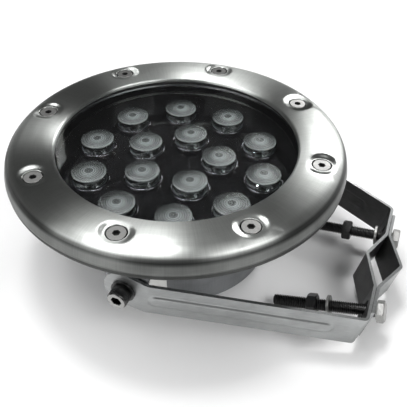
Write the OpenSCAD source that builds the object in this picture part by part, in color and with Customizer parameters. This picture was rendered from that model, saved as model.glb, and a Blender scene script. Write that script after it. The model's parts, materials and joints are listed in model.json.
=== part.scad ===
// Underwater pond light: a round flange-mounted LED lamp on a tilting U yoke with a pipe clamp.
// The housing stands on its flat base at z = 0, its axis is +Z, and the yoke points towards +X.

/* [Housing] */
// Radius of the housing cup at its top
cup_top_r = 73.5; // [72:0.5:76]
// Radius of the housing cup just above its base edge
cup_base_r = 69; // [66:0.5:71]
// Radius of the wide dish that holds the LED board
dish_r = 91; // [90:0.5:92]
// Wall thickness of the cup and the dish
wall_t = 2; // [1.5:0.25:3]
// Height of the underside of the housing flange
flange_z = 78; // [76:0.5:80]

/* [Face ring] */
// Diameter of the circle that the ring screws lie on
screw_pcd = 200; // [198:1:202]
// Number of ring screws
screw_n = 8; // [6:1:8]
// Height of the ring screw heads above the base
screw_z = 96; // [95.5:0.25:96.5]
// Thickness of the pressed ring sheet
ring_t = 1.5; // [1.2:0.1:1.8]

/* [Glass] */
// Thickness of the front glass
glass_t = 8; // [6:1:8]
// Radius of the front glass
glass_r = 94.8; // [94:0.2:94.8]

/* [LEDs] */
// Number of lenses in the outer circle
outer_n = 10; // [6:1:12]
// Radius of the outer circle of lenses
outer_r = 62.9; // [58:0.1:66]
// Number of lenses in the inner circle
inner_n = 5; // [3:1:5]
// Radius of the inner circle of lenses
inner_r = 29.4; // [26:0.1:34]
// Radius of one lens
lens_r = 12; // [10:0.5:12]
// Height of the lens tops above the base
lens_top = 76; // [75:0.5:78]

/* [Yoke] */
// Distance from the pivot axis to the outer face of the yoke's back
yoke_reach = 145.5; // [143:0.5:150]
// Distance between the outer faces of the two arms at the pivots
yoke_span = 201; // [200:0.5:204]
// Width of the yoke's back, over its outer corners
back_w = 114; // [112:1:120]
// Width of the yoke's strip
strip_w = 26; // [24:0.5:27]
// Thickness of the yoke's strip
strip_t = 2; // [1.5:0.5:2.5]
// Angle of the yoke below the horizontal at rest
yoke_tilt = 9.8; // [0:0.1:12]

/* [Pipe clamp] */
// Depth of the V in the yoke's back
v_depth = 10; // [8:0.5:12]
// Depth of the V in the clamp plate
jaw_depth = 12; // [10:0.5:14]
// Half the width of each V of the clamp
v_half = 26; // [22:0.5:27]
// Length of the clamp plate
clamp_len = 98; // [96:1:100]
// Distance between the two clamp bolts
bolt_gap = 76; // [75:1:77]
// Length of a clamp bolt under its head
bolt_len = 70; // [60:5:75]
// Angle by which the loose near bolt droops from square to the yoke's back
near_droop = 26; // [20:1:26]
// Angle by which the loose far bolt droops from square to the yoke's back
far_droop = 16; // [14:1:26]

/* [Hidden] */
$fn = 96;

NEAR = -1;
FAR = 1;
slip = 0.1;
thread_slip = 0.05;
cut = 1;

// Housing heights and radii
flange_t = 3.5;
flange_top = flange_z + flange_t;
flange_r = 111;
rim_r = 95.2;
rim_t = 1.2;
rim_h = 6.5;
ledge_t = 2;
ledge_top = 61.5;
ledge_z = ledge_top - ledge_t;
floor_t = 2.5;
base_edge = 5;
cup_neck = 3;
dish_edge = 5;
inner_edge = 3;

// Glass and seals
lower_seal_t = 1.5;
glass_z = flange_top + lower_seal_t;
glass_top = glass_z + glass_t;
lip_z = glass_top + 1;

// LED stack
spreader_t = 3;
spreader_top = ledge_top + spreader_t;
spreader_r = 85;
board_t = 1.6;
board_top = spreader_top + board_t;
board_r = 82;
board_screw_r = 78;
plate_z = board_top + 1.7;
plate_top = plate_z + 1.2;
plate_r = 88.5;
tray_top = 82.4;
emitter_h = 1.2;
wire_hole_r = 5;

// Angle of the first ring screw and of the first lens of each circle
screw_a0 = 3.96;
outer_a0 = 3.5;
inner_a0 = 22.2;
M6_R = 3;
M6_HEAD_R = 6;
dimple_r = 8;
dimple_rim_r = 12.5;

// Driver inside the cup
driver_z = 20;
driver_x = 96;
driver_y = 56;
driver_top = driver_z + board_t;
post_x = 42;
post_y = 22;

// Cable gland on the -X side
gland_z = 24;
gland_face = 76;
gland_boss_r = 14;
gland_thread_r = 8;
gland_hole_r = 5.4;
cable_r = 4;
gland_ring_t = 1.5;
gland_hex_t = 6;
gland_end = 96;
gland_nut_z = gland_face + gland_ring_t + gland_hex_t;

// Pivots
pivot_x = 7.4;
pivot_z = 47.4;
M8_R = 4;
M8_HEX_R = 7.5;
M8_NUT_H = 6.5;
M8_HEAD_H = 5.3;
arm_out = yoke_span / 2;
arm_in = arm_out - strip_t;
washer_t = 1.6;
spacer_t = 1.8;
ear_t = 3;
ear_out = arm_in - spacer_t - 2 * slip;
ear_in = ear_out - ear_t;
ear_lobe_r = 13;
ear_half = 20;
ear_tab = 10.5;
cap_r = 6.5;
cap_h = 8;
cap_under = arm_out + washer_t + 2 * slip;
pivot_len = 20;
lobe_r = 14;

// Yoke path, from the near pivot round the back to the far pivot
bend_x = 15;
half_t = strip_t / 2;
arm_line = arm_out - half_t;
corner_y = back_w / 2 - half_t;
back_x = yoke_reach - half_t;
half_yoke = [[0, arm_line], [bend_x, arm_line], [back_x, corner_y], [back_x, v_half],
    [back_x - v_depth, 0]];
bend_radii = [0, 12, 3.5, 4, 3];
arm_angle = atan2(corner_y - arm_line, back_x - bend_x);
rib_start = 1;
rib_len = 118;
rib_w = 10;
rib_h = 1.2;

// Clamp plate and bolts, in the yoke's frame
jaw_gap = 0.3;
jaw_x = yoke_reach + jaw_gap + half_t;
half_jaw = [[jaw_x, clamp_len / 2], [jaw_x, v_half], [jaw_x + jaw_depth, 0]];
stack_x = yoke_reach + jaw_gap / 2;
bolt_y = bolt_gap / 2;
bolt_hole_r = 5;
slot_half = 3;
head_at = 6.1;
tip_at = head_at - bolt_len;
near_nut_at = -39.6;
far_nut_at = -30.2;
near_spring_at = -26;
far_spring_at = -6.6;
bolt_lift = 1;
spring_t = 2;
spring_in = 4.08;
spring_out = 7.2;

STEEL = [0.78, 0.78, 0.76];
DARK_STEEL = [0.36, 0.36, 0.36];
GRAPHITE = [0.25, 0.26, 0.27];
BLACK = [0.05, 0.05, 0.05];
RUBBER = [0.1, 0.1, 0.1];
PCB = [0.1, 0.35, 0.2];
COPPER = [0.75, 0.45, 0.2];
CLEAR = [0.8, 0.88, 0.9, 0.45];

function unit(v) = v / norm(v);

// Points of the arc that rounds the corner at b with radius r
function corner(a, b, c, r, n) =
    let (u = unit(a - b), v = unit(c - b), half = acos(u * v) / 2)
    let (centre = b + unit(u + v) * r / sin(half), reach = r / tan(half))
    let (s = b + u * reach - centre, e = b + v * reach - centre)
    let (a0 = atan2(s.y, s.x), sweep = atan2(e.y, e.x) - a0)
    let (turn = sweep > 180 ? sweep - 360 : sweep < -180 ? sweep + 360 : sweep)
    [for (i = [0 : n]) centre + r * [cos(a0 + turn * i / n), sin(a0 + turn * i / n)]];

// A path with its inner corners rounded
function rounded(path, radii, n = 6) = concat(
    [path[0]],
    [for (i = [1 : len(path) - 2]) each corner(path[i - 1], path[i], path[i + 1], radii[i], n)],
    [path[len(path) - 1]]);

// A path moved sideways by d
function moved(path, d) = [for (i = [0 : len(path) - 1])
    let (last = len(path) - 1, j = max(i, 1), k = min(i, last - 1))
    let (d0 = unit(path[j] - path[j - 1]), d1 = unit(path[k + 1] - path[k]), m = unit(d0 + d1))
    path[i] + d / (m * d1) * [-m.y, m.x]];

function reversed(path) = [for (i = [len(path) - 1 : -1 : 0]) path[i]];

// The outline of a sheet of thickness t whose middle follows path
function band(path, t) = concat(moved(path, t / 2), reversed(moved(path, -t / 2)));

// Mirrored open path of a strip, near side first
function both_sides(half) = concat(
    [for (p = half) [p.x, -p.y]],
    [for (i = [len(half) - 2 : -1 : 0]) half[i]]);
function both_radii(half) = concat(half, [for (i = [len(half) - 2 : -1 : 0]) half[i]]);

module ring_of(n, r, a0) {
    for (i = [0 : n - 1]) rotate([0, 0, a0 + i * 360 / n]) translate([r, 0, 0]) children();
}

module at_lenses() {
    ring_of(outer_n, outer_r, outer_a0) children();
    ring_of(inner_n, inner_r, inner_a0) children();
}

module at_posts() {
    for (x = [-post_x, post_x], y = [-post_y, post_y]) translate([x, y, 0]) children();
}

module tube(outer, inner, h) {
    difference() {
        cylinder(r = outer, h = h);
        translate([0, 0, -cut]) cylinder(r = inner, h = h + 2 * cut);
    }
}

// A cylinder along +Y on the side's pivot line, from y = a to y = b outwards
module pivot_rod(side, r, a, b, fn = 96) {
    translate([pivot_x, side * a, pivot_z]) rotate([-90 * side, 0, 0]) cylinder(r = r, h = b - a, $fn = fn);
}

// A cylinder along -X on the gland's line, from a to b outwards
module gland_rod(r, a, b, fn = 96) {
    translate([-a, 0, gland_z]) rotate([0, -90, 0]) cylinder(r = r, h = b - a, $fn = fn);
}

module in_yoke() {
    translate([pivot_x, 0, pivot_z]) rotate([0, yoke_tilt, 0]) children();
}

// The bolt's own frame: +Z runs out along the bolt, from the middle of the two plates
module at_bolt(side) {
    droop = side == NEAR ? near_droop : far_droop;
    in_yoke() translate([stack_x, side * bolt_y, -side * bolt_lift]) rotate([0, 90 - droop, 0]) children();
}

module hex_nut(h, bore) {
    difference() {
        cylinder(r = M8_HEX_R, h = h, $fn = 6);
        translate([0, 0, -cut]) cylinder(r = bore, h = h + 2 * cut);
    }
}

module stadium(l, w) {
    translate([w / 2, -w / 2]) square([l - w, w]);
    translate([w / 2, 0]) circle(r = w / 2);
    translate([l - w / 2, 0]) circle(r = w / 2);
}

// ---- housing and its ears ----

module housing() {
    cup_inner = cup_top_r - wall_t;
    base_arc = [for (i = [0 : 6]) [cup_base_r - base_edge + base_edge * sin(i * 15),
        base_edge - base_edge * cos(i * 15)]];
    inner_arc = [for (i = [6 : -1 : 0]) [cup_base_r - wall_t - base_edge + base_edge * sin(i * 15),
        floor_t + base_edge - base_edge * cos(i * 15)]];
    profile = concat(
        [[0, 0]], base_arc,
        [[cup_top_r, ledge_z - cup_neck], [cup_top_r + cup_neck, ledge_z], [dish_r - dish_edge, ledge_z],
         [dish_r, ledge_z + dish_edge], [dish_r, flange_z], [dish_r - wall_t, flange_z],
         [dish_r - wall_t, ledge_top + inner_edge],
         [dish_r - wall_t - inner_edge, ledge_top], [cup_inner, ledge_top], [cup_inner, ledge_z - cup_neck]],
        inner_arc, [[0, floor_t]]);
    color(GRAPHITE) difference() {
        union() {
            rotate_extrude() polygon(profile);
            gland_rod(gland_boss_r, cup_base_r - wall_t, gland_face);
        }
        gland_rod(gland_thread_r, cup_base_r - wall_t - 5, gland_face + cut);
        ring_of(4, board_screw_r, 45)
            translate([0, 0, ledge_z + cut]) cylinder(r = 1.5 + thread_slip, h = ledge_t);
    }
}

// The flat flange welded to the dish's mouth, with the thin rim that centres the glass
module flange_ring() {
    color(GRAPHITE) difference() {
        rotate_extrude() polygon([[dish_r - wall_t, flange_z], [flange_r, flange_z], [flange_r, flange_top],
            [rim_r + rim_t, flange_top], [rim_r + rim_t, flange_top + rim_h], [rim_r, flange_top + rim_h],
            [rim_r, flange_top], [dish_r - wall_t, flange_top]]);
        ring_of(screw_n, screw_pcd / 2, screw_a0)
            translate([0, 0, flange_z - cut]) cylinder(r = M6_R + thread_slip, h = flange_t + 2 * cut);
    }
}

module ear(side) {
    h = flange_z - pivot_z;
    tangent = atan2(h, ear_half) - acos(ear_lobe_r / norm([h, ear_half]));
    lobe = ear_lobe_r * [cos(tangent), sin(tangent)];
    color(GRAPHITE) difference() {
        union() {
            translate([pivot_x, side * (ear_in + ear_t / 2), pivot_z]) rotate([90, 0, 0])
                linear_extrude(ear_t, center = true) {
                    circle(r = ear_lobe_r);
                    polygon([[-ear_half, h], [-lobe.x, lobe.y], lobe, [ear_half, h]]);
                }
            translate([pivot_x, side * (ear_in + (ear_t + ear_tab) / 2), flange_z - ear_t / 2])
                cube([2 * ear_half, ear_t + ear_tab, ear_t], center = true);
        }
        pivot_rod(side, M8_R + thread_slip, ear_in - cut, ear_out + cut);
    }
}

module near_ear() { ear(NEAR); }
module far_ear() { ear(FAR); }

module ear_nuts() {
    color(STEEL) for (side = [NEAR, FAR]) difference() {
        pivot_rod(side, M8_HEX_R, ear_in - M8_NUT_H, ear_in, 6);
        pivot_rod(side, M8_R + thread_slip, ear_in - M8_NUT_H - cut, ear_in + cut);
    }
}

// ---- face ring, glass and seals ----

module face_ring() {
    path = [[84.2, lip_z], [84.4, 93.9], [91, 95.7], [100, 96.5], [109, 96], [115, 92.6],
        [116.7, 85.2], [116, 83.3], [116.6, 81.4], [113.6, 78.6]];
    radii = [0, 1.4, 40, 40, 14, 7.5, 2, 1.5, 2, 0];
    color(STEEL) difference() {
        union() {
            rotate_extrude($fn = 180) polygon(band(rounded(path, radii), ring_t));
            ring_of(screw_n, screw_pcd / 2, screw_a0) translate([0, 0, screw_z - ring_t])
                cylinder(r1 = dimple_r, r2 = dimple_rim_r - 1, h = ring_t);
        }
        ring_of(screw_n, screw_pcd / 2, screw_a0) {
            translate([0, 0, screw_z]) cylinder(r1 = dimple_r, r2 = dimple_rim_r, h = ring_t);
            translate([0, 0, screw_z - M6_R]) cylinder(r1 = M6_R + slip, r2 = M6_HEAD_R + slip, h = M6_R);
            translate([0, 0, screw_z - 2 * M6_R]) cylinder(r = M6_R + slip, h = 2 * M6_R);
        }
    }
}

module ring_screws() {
    socket_af = 4;
    color(STEEL) ring_of(screw_n, screw_pcd / 2, screw_a0) difference() {
        union() {
            translate([0, 0, flange_z + 0.2]) cylinder(r = M6_R, h = screw_z - flange_z - M6_R);
            translate([0, 0, screw_z - M6_R]) cylinder(r1 = M6_R, r2 = M6_HEAD_R, h = M6_R - thread_slip);
        }
        translate([0, 0, screw_z - 2.5]) cylinder(r = socket_af / 2 / cos(30), h = 3, $fn = 6);
    }
}

module upper_gasket() {
    color(RUBBER) rotate_extrude() polygon([[83.6, glass_top], [glass_r, glass_top], [glass_r, 94.3],
        [91, 94.2], [85.7, 93], [85.3, lip_z - 0.2], [83.6, lip_z - 0.2]]);
}

module front_glass() {
    chamfer = 0.6;
    color(CLEAR) rotate_extrude() polygon([[0, glass_z], [glass_r - chamfer, glass_z],
        [glass_r, glass_z + chamfer], [glass_r, glass_top - chamfer], [glass_r - chamfer, glass_top],
        [0, glass_top]]);
}

module lower_gasket() {
    color(RUBBER) translate([0, 0, flange_top]) tube(glass_r, dish_r - wall_t + 0.5, lower_seal_t);
}

// ---- LED assembly ----

module cover_plate() {
    rim_w = 1.4;
    rim_up = 0.8;
    color(BLACK) difference() {
        union() {
            translate([0, 0, plate_z]) cylinder(r = plate_r, h = plate_top - plate_z);
            translate([0, 0, spreader_top]) tube(spreader_r, spreader_r - 2, plate_top - spreader_top);
            translate([0, 0, plate_z]) tube(plate_r, plate_r - 1.4, tray_top - plate_z);
            at_lenses() translate([0, 0, plate_z])
                cylinder(r = lens_r + 0.2 + rim_w, h = plate_top - plate_z + rim_up);
        }
        at_lenses() translate([0, 0, plate_z - cut])
            cylinder(r = lens_r + 0.2, h = plate_top - plate_z + rim_up + 2 * cut);
    }
}

module led_lenses() {
    foot_r = 7;
    cup_r = 3;
    dome = 0.9;
    foot_z = board_top;
    shoulder_z = plate_z;
    color(CLEAR) at_lenses() rotate_extrude() polygon([
        [cup_r, foot_z], [foot_r, foot_z], [lens_r - 1, shoulder_z - 0.6], [lens_r, shoulder_z],
        [lens_r, lens_top - 0.5], [lens_r - 0.5, lens_top], [lens_r - 3, lens_top + dome / 2],
        [0, lens_top + dome], [0, foot_z + 3.4], [cup_r - 0.6, foot_z + 3]]);
}

module led_emitters() {
    color([0.95, 0.9, 0.6]) at_lenses() translate([-1.75, -1.75, board_top]) cube([3.5, 3.5, emitter_h]);
}

module led_board() {
    color([0.9, 0.9, 0.88]) difference() {
        translate([0, 0, spreader_top]) cylinder(r = board_r, h = board_t);
        ring_of(4, board_screw_r, 45) translate([0, 0, spreader_top - cut]) cylinder(r = 1.7, h = 4);
    }
}

module board_screws() {
    head_h = 1.5;
    tip = ledge_z + 1.4;
    color(STEEL) ring_of(4, board_screw_r, 45) {
        translate([0, 0, tip]) cylinder(r = 1.5, h = board_top - tip);
        translate([0, 0, board_top]) cylinder(r = 2.8, h = head_h);
    }
}

module heat_spreader() {
    color([0.7, 0.7, 0.72]) difference() {
        translate([0, 0, ledge_top]) cylinder(r = spreader_r, h = spreader_t);
        translate([0, 0, ledge_top - cut]) cylinder(r = wire_hole_r, h = spreader_t + 2 * cut);
        ring_of(4, board_screw_r, 45) translate([0, 0, ledge_top - cut]) cylinder(r = 1.7, h = 5);
    }
}

// ---- driver ----

module driver_board() {
    color(PCB) difference() {
        translate([-driver_x / 2, -driver_y / 2, driver_z]) cube([driver_x, driver_y, board_t]);
        at_posts() translate([0, 0, driver_z - cut]) cylinder(r = 1.7, h = board_t + 2 * cut);
    }
}

module driver_standoffs() {
    color("gold") at_posts() translate([0, 0, floor_t]) difference() {
        cylinder(r = 3.2, h = driver_z - floor_t, $fn = 6);
        translate([0, 0, 8]) cylinder(r = 1.55, h = driver_z);
    }
}

module driver_screws() {
    color(STEEL) at_posts() {
        translate([0, 0, driver_z - 6]) cylinder(r = 1.5, h = 6 + board_t);
        translate([0, 0, driver_top]) cylinder(r = 2.8, h = 1.8);
    }
}

module filter_capacitors() {
    color([0.1, 0.12, 0.3]) {
        translate([28, 12, driver_top]) cylinder(r = 8, h = 24);
        translate([12, 18, driver_top]) cylinder(r = 5, h = 16);
        translate([30, -8, driver_top]) cylinder(r = 5, h = 16);
    }
}

module transformer() {
    color([0.6, 0.5, 0.2]) translate([-8, -4, driver_top]) {
        translate([-12, -10, 0]) cube([24, 20, 5]);
        translate([-10, -6, 5]) cube([20, 12, 11]);
        translate([-12, -10, 16]) cube([24, 20, 4]);
    }
}

module choke_coil() {
    color(COPPER) translate([14, -16, driver_top + 9]) rotate([90, 0, 0])
        rotate_extrude() translate([6, 0]) circle(r = 3);
}

module driver_chips() {
    color(BLACK) {
        translate([-34, 2, driver_top]) cube([10, 8, 2.2]);
        translate([-34, -14, driver_top]) cube([8, 6, 1.8]);
        translate([25, -26, driver_top]) cube([12, 3.5, 14]);
    }
}

module terminal_block() {
    ways = 3;
    pitch = 5;
    color([0.15, 0.45, 0.25]) translate([-47, -ways * pitch / 2, driver_top]) difference() {
        cube([10, ways * pitch, 10]);
        for (i = [0 : ways - 1]) translate([-cut, (i + 0.5) * pitch, 4])
            rotate([0, 90, 0]) cylinder(r = 1.6, h = 7);
        for (i = [0 : ways - 1]) translate([6, (i + 0.5) * pitch, 6]) cylinder(r = 1.5, h = 5);
    }
}

// Two wires that rise from the driver, cross to the middle and go up to the LED board
module led_wires() {
    wire_r = 0.9;
    knee_r = 1.4;
    knee = 52;
    from_x = 42;
    for (side = [NEAR, FAR]) color(side == NEAR ? "firebrick" : "black") translate([0, side * 2, 0]) {
        translate([from_x, 0, driver_top]) cylinder(r = wire_r, h = knee - driver_top);
        translate([from_x, 0, knee]) sphere(r = knee_r);
        translate([0, 0, knee]) rotate([0, 90, 0]) cylinder(r = wire_r, h = from_x);
        translate([0, 0, knee]) sphere(r = knee_r);
        translate([0, 0, knee]) cylinder(r = wire_r, h = spreader_top - knee);
    }
}

// ---- cable gland ----

module gland_body() {
    color("silver") difference() {
        union() {
            gland_rod(gland_thread_r - thread_slip, cup_base_r - wall_t - 3, gland_face + gland_ring_t);
            gland_rod(12.5, gland_face + gland_ring_t, gland_nut_z, 6);
            gland_rod(gland_thread_r, gland_nut_z, gland_nut_z + 8);
        }
        gland_rod(gland_hole_r, cup_base_r - wall_t - 5, gland_nut_z + 9);
    }
}

module gland_oring() {
    color(RUBBER) difference() {
        gland_rod(11, gland_face, gland_face + gland_ring_t);
        gland_rod(gland_thread_r, gland_face - cut, gland_face + gland_ring_t + cut);
    }
}

module gland_seal() {
    color(RUBBER) difference() {
        gland_rod(gland_hole_r - thread_slip, gland_nut_z - 6, gland_end - 3);
        gland_rod(cable_r, gland_nut_z - 7, gland_end);
    }
}

module gland_nut() {
    color("silver") difference() {
        union() {
            gland_rod(11.5, gland_nut_z + slip, gland_nut_z + 7, 6);
            translate([-(gland_nut_z + 7), 0, gland_z]) rotate([0, -90, 0])
                cylinder(r1 = 10, r2 = 7.5, h = gland_end - gland_nut_z - 7);
        }
        gland_rod(gland_thread_r + thread_slip, gland_nut_z - cut, gland_nut_z + 8.2);
        gland_rod(gland_hole_r, gland_nut_z, gland_end - 2.9);
        gland_rod(cable_r + 0.4, gland_nut_z, gland_end + cut);
    }
}

// ---- blank rating plate on the cup's tapered wall ----

module rating_plate() {
    z0 = 12;
    z1 = 34;
    plate_t = 0.4;
    a0 = -97;
    sweep = 24;
    slope = (cup_top_r - cup_base_r) / (ledge_z - cup_neck - base_edge);
    r0 = cup_base_r + (z0 - base_edge) * slope + 0.02;
    r1 = cup_base_r + (z1 - base_edge) * slope + 0.02;
    color([0.85, 0.85, 0.82]) rotate([0, 0, a0]) rotate_extrude(angle = sweep)
        polygon([[r0, z0], [r0 + plate_t, z0], [r1 + plate_t, z1], [r1, z1]]);
}

// ---- pivots ----

module pivot_screw(side) {
    socket_af = 6;
    color(STEEL) difference() {
        union() {
            pivot_rod(side, M8_R, cap_under - pivot_len, cap_under);
            pivot_rod(side, cap_r, cap_under, cap_under + cap_h);
        }
        pivot_rod(side, socket_af / 2 / cos(30), cap_under + cap_h / 2, cap_under + cap_h + cut, 6);
    }
}

module near_pivot_screw() { pivot_screw(NEAR); }
module far_pivot_screw() { pivot_screw(FAR); }

module pivot_disc(side, r, a, b) {
    difference() {
        pivot_rod(side, r, a, b);
        pivot_rod(side, M8_R + thread_slip, a - cut, b + cut);
    }
}

module pivot_washers() {
    color(STEEL) for (side = [NEAR, FAR]) pivot_disc(side, 8, arm_out + slip, arm_out + slip + washer_t);
}

module arm_spacers() {
    color(DARK_STEEL) for (side = [NEAR, FAR]) pivot_disc(side, 9, ear_out, ear_out + spacer_t);
}

// ---- yoke ----

// Places a rib outline on an arm: +X runs along the arm, the extrusion goes outwards
module on_arm(side) {
    translate([bend_x, side * arm_line, 0]) rotate([0, 0, side * arm_angle]) translate([rib_start, 0, 0])
        rotate([-90 * side, 0, 0]) children();
}

// The upright slot that lets a clamp bolt pass at a slant
module bolt_slot(side) {
    deep = 4 * strip_t;
    translate([stack_x, side * bolt_y, 0]) rotate([0, 90, 0]) {
        for (end = [-slot_half, slot_half]) translate([end, 0, 0])
            cylinder(r = bolt_hole_r, h = deep, center = true);
        cube([2 * slot_half, 2 * bolt_hole_r, deep], center = true);
    }
}

module yoke_bracket() {
    path = rounded(both_sides(half_yoke), both_radii(bend_radii));
    groove_w = rib_w - 2 * rib_h;
    color(STEEL) in_yoke() difference() {
        union() {
            linear_extrude(strip_w, center = true) polygon(band(path, strip_t));
            for (side = [NEAR, FAR]) {
                translate([0, side * arm_line, 0]) rotate([90, 0, 0])
                    cylinder(r = lobe_r, h = strip_t, center = true);
                on_arm(side) linear_extrude(half_t + rib_h) stadium(rib_len, rib_w);
            }
        }
        for (side = [NEAR, FAR]) {
            translate([0, side * arm_line, 0]) rotate([90, 0, 0])
                cylinder(r = M8_R + 0.08, h = strip_t + 2 * cut, center = true);
            bolt_slot(side);
            on_arm(side) translate([(rib_w - groove_w) / 2, 0, -half_t - cut])
                linear_extrude(cut + rib_h) stadium(rib_len - rib_w + groove_w, groove_w);
        }
    }
}

// ---- pipe clamp ----

module clamp_plate() {
    path = rounded(both_sides(half_jaw), both_radii([0, 4, 3]));
    color(STEEL) in_yoke() difference() {
        linear_extrude(strip_w, center = true) polygon(band(path, strip_t));
        for (side = [NEAR, FAR]) bolt_slot(side);
    }
}

module clamp_bolt(side) {
    chamfer = 1;
    color(DARK_STEEL) at_bolt(side) {
        translate([0, 0, tip_at + chamfer]) cylinder(r = M8_R, h = bolt_len - chamfer);
        translate([0, 0, tip_at]) cylinder(r1 = M8_R - chamfer, r2 = M8_R, h = chamfer);
        translate([0, 0, head_at]) cylinder(r = M8_HEX_R, h = M8_HEAD_H, $fn = 6);
    }
}

module near_clamp_bolt() { clamp_bolt(NEAR); }
module far_clamp_bolt() { clamp_bolt(FAR); }

module lock_nut(side, at) {
    color(DARK_STEEL) at_bolt(side) translate([0, 0, at]) hex_nut(M8_NUT_H, M8_R + thread_slip);
}

module near_lock_nut() { lock_nut(NEAR, near_nut_at); }
module far_lock_nut() { lock_nut(FAR, far_nut_at); }

module spring_washer(side, at) {
    slit = 1.4;
    color(STEEL) at_bolt(side) translate([0, 0, at]) difference() {
        tube(spring_out, spring_in, spring_t);
        translate([0, -slit / 2, -cut]) cube([spring_out + cut, slit, spring_t + 2 * cut]);
    }
}

module near_spring_washer() { spring_washer(NEAR, near_spring_at); }
module far_spring_washer() { spring_washer(FAR, far_spring_at); }

housing();
flange_ring();
near_ear();
far_ear();
ear_nuts();
face_ring();
ring_screws();
upper_gasket();
front_glass();
lower_gasket();
cover_plate();
led_lenses();
led_emitters();
led_board();
board_screws();
heat_spreader();
driver_board();
driver_standoffs();
driver_screws();
filter_capacitors();
transformer();
choke_coil();
driver_chips();
terminal_block();
led_wires();
gland_body();
gland_oring();
gland_seal();
gland_nut();
rating_plate();
near_pivot_screw();
far_pivot_screw();
pivot_washers();
arm_spacers();
yoke_bracket();
clamp_plate();
near_clamp_bolt();
far_clamp_bolt();
near_lock_nut();
far_lock_nut();
near_spring_washer();
far_spring_washer();
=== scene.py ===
"""Looks for the underwater pond light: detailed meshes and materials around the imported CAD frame."""

import json
import math

import bmesh
import bpy
from mathutils import Matrix, Quaternion, Vector


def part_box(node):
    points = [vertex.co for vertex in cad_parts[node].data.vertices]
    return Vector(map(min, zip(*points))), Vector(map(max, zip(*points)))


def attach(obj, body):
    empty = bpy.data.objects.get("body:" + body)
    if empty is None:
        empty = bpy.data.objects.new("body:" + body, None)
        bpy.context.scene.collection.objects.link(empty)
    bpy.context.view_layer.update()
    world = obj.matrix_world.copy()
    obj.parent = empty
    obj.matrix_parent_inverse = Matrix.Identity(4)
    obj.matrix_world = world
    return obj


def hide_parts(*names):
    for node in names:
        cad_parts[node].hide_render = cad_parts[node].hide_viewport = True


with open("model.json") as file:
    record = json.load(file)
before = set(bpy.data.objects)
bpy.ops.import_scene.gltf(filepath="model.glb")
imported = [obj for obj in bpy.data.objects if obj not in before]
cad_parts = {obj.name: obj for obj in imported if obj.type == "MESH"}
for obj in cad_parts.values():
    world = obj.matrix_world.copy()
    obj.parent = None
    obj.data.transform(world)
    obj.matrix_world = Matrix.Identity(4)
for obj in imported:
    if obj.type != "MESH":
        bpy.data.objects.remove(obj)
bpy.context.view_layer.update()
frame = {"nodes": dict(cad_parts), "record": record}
MM = 0.001

# ---- driving sizes in millimetres, as in the CAD model ----

SCREW_CIRCLE_R = 100.0
SCREW_COUNT = 8
SCREW_START = 3.96
HEAD_PLANE = 96.0
RING_SHEET = 1.5
RING_PATH = [(84.2, 92), (84.4, 93.9), (91, 95.7), (SCREW_CIRCLE_R, 96.5), (109, 96), (115, 92.6),
             (116.7, 85.2), (116, 83.3), (116.6, 81.4), (113.6, 78.6)]
RING_RADII = [0, 1.4, 40, 40, 14, 7.5, 2, 1.5, 2, 0]
DIMPLE_FLAT_R = 6.6
DIMPLE_RIM_R = 12.0
SCREW_HOLE_R = 6.5

OUTER_LENSES = (10, 62.9, 3.5)
INNER_LENSES = (5, 29.4, 22.2)
LENS_R = 12.0
LENS_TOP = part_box("led_lenses")[1].z / MM
BOARD_TOP = 66.1
PLATE_TOP = 69.0
TRAY_R = 88.5
TRAY_TOP = 82.4

PIVOT = Vector((7.4, 0.0, 47.4))
TILT = math.radians(9.8)
DROOP = {"near": math.radians(26.0), "far": math.radians(16.0)}
STRIP_W = 26.0
STRIP_T = 2.0
ARM_OUT = 100.5
BEND_X = 15.0
BACK_X = 144.5
CORNER_Y = 56.0
V_HALF = 26.0
V_DEPTH = 10.0
JAW_DEPTH = 12.0
JAW_X = 146.8
JAW_HALF = 49.0
BOLT_Y = 38.0
BOLT_LIFT = 1.0
STACK_X = 145.65
SLOT_R = 5.0
SLOT_HALF = 3.0
LOBE_R = 14.0

M8_R = 4.0
M8_AF = 13.0
M8_PITCH = 1.25
NUT_H = 6.5
HEAD_AT = 6.1
BOLT_LEN = 70.0
TIP_AT = HEAD_AT - BOLT_LEN
NUT_AT = {"near": -39.6, "far": -30.2}
SPRING_AT = {"near": -26.0, "far": -6.6}

# Radius at which a turned shape is closed on its axis
CLOSED_R = 0.02

IN_YOKE = Matrix.Translation(PIVOT) @ Matrix.Rotation(TILT, 4, "Y")
SIDES = {"near": -1, "far": 1}

# How often the steel's grain repeats per metre along each axis
FINE_GRAIN = (900.0, 900.0, 900.0)
STRIP_GRAIN = (90.0, 700.0, 5000.0)

# How often radial hairlines repeat per metre round the axis, outwards and upwards
HAIRLINES = (1300.0, 45.0, 45.0)

# Painted reflections: shade of the ring's steel at heights from its hem to its face, darker and lighter bands
# that stand in for what its skirt reflects, and the heights that the bands span
SKIRT_PAINTED_BANDS = [(78.0, 0.5), (79.6, 0.45), (80.6, 0.10), (83.0, 0.14), (85.5, 0.36), (90.0, 0.34),
               (92.0, 0.11), (93.6, 0.3), (94.6, 1.0)]
SKIRT_LOW = 78.0
SKIRT_HIGH = 98.0

# The painted bands fade out between these radii, so that the ring's inner lip stays bright
LIP_R = 89.0
LIP_END_R = 94.0

# Painted light and shade of a lens top at distances from the lens's axis: a dark centre, a lighter ring and a
# pale rim that stand in for what the clear lens shows
LENS_PAINTED_SHADES = [(0.0, 0.05), (1.2, 0.03), (2.4, 0.045), (3.2, 0.10), (5.2, 0.08), (7.5, 0.045), (11.2, 0.04),
               (11.6, 0.11), (12.0, 0.06)]

# How closely the beads on a lens top lie, and how fast their round rows rise and fall, in radians per mm
BEADS_PER_MM = 1.05
BEAD_ROW_WAVE = 4.2

# ---- camera and studio ----

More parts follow.
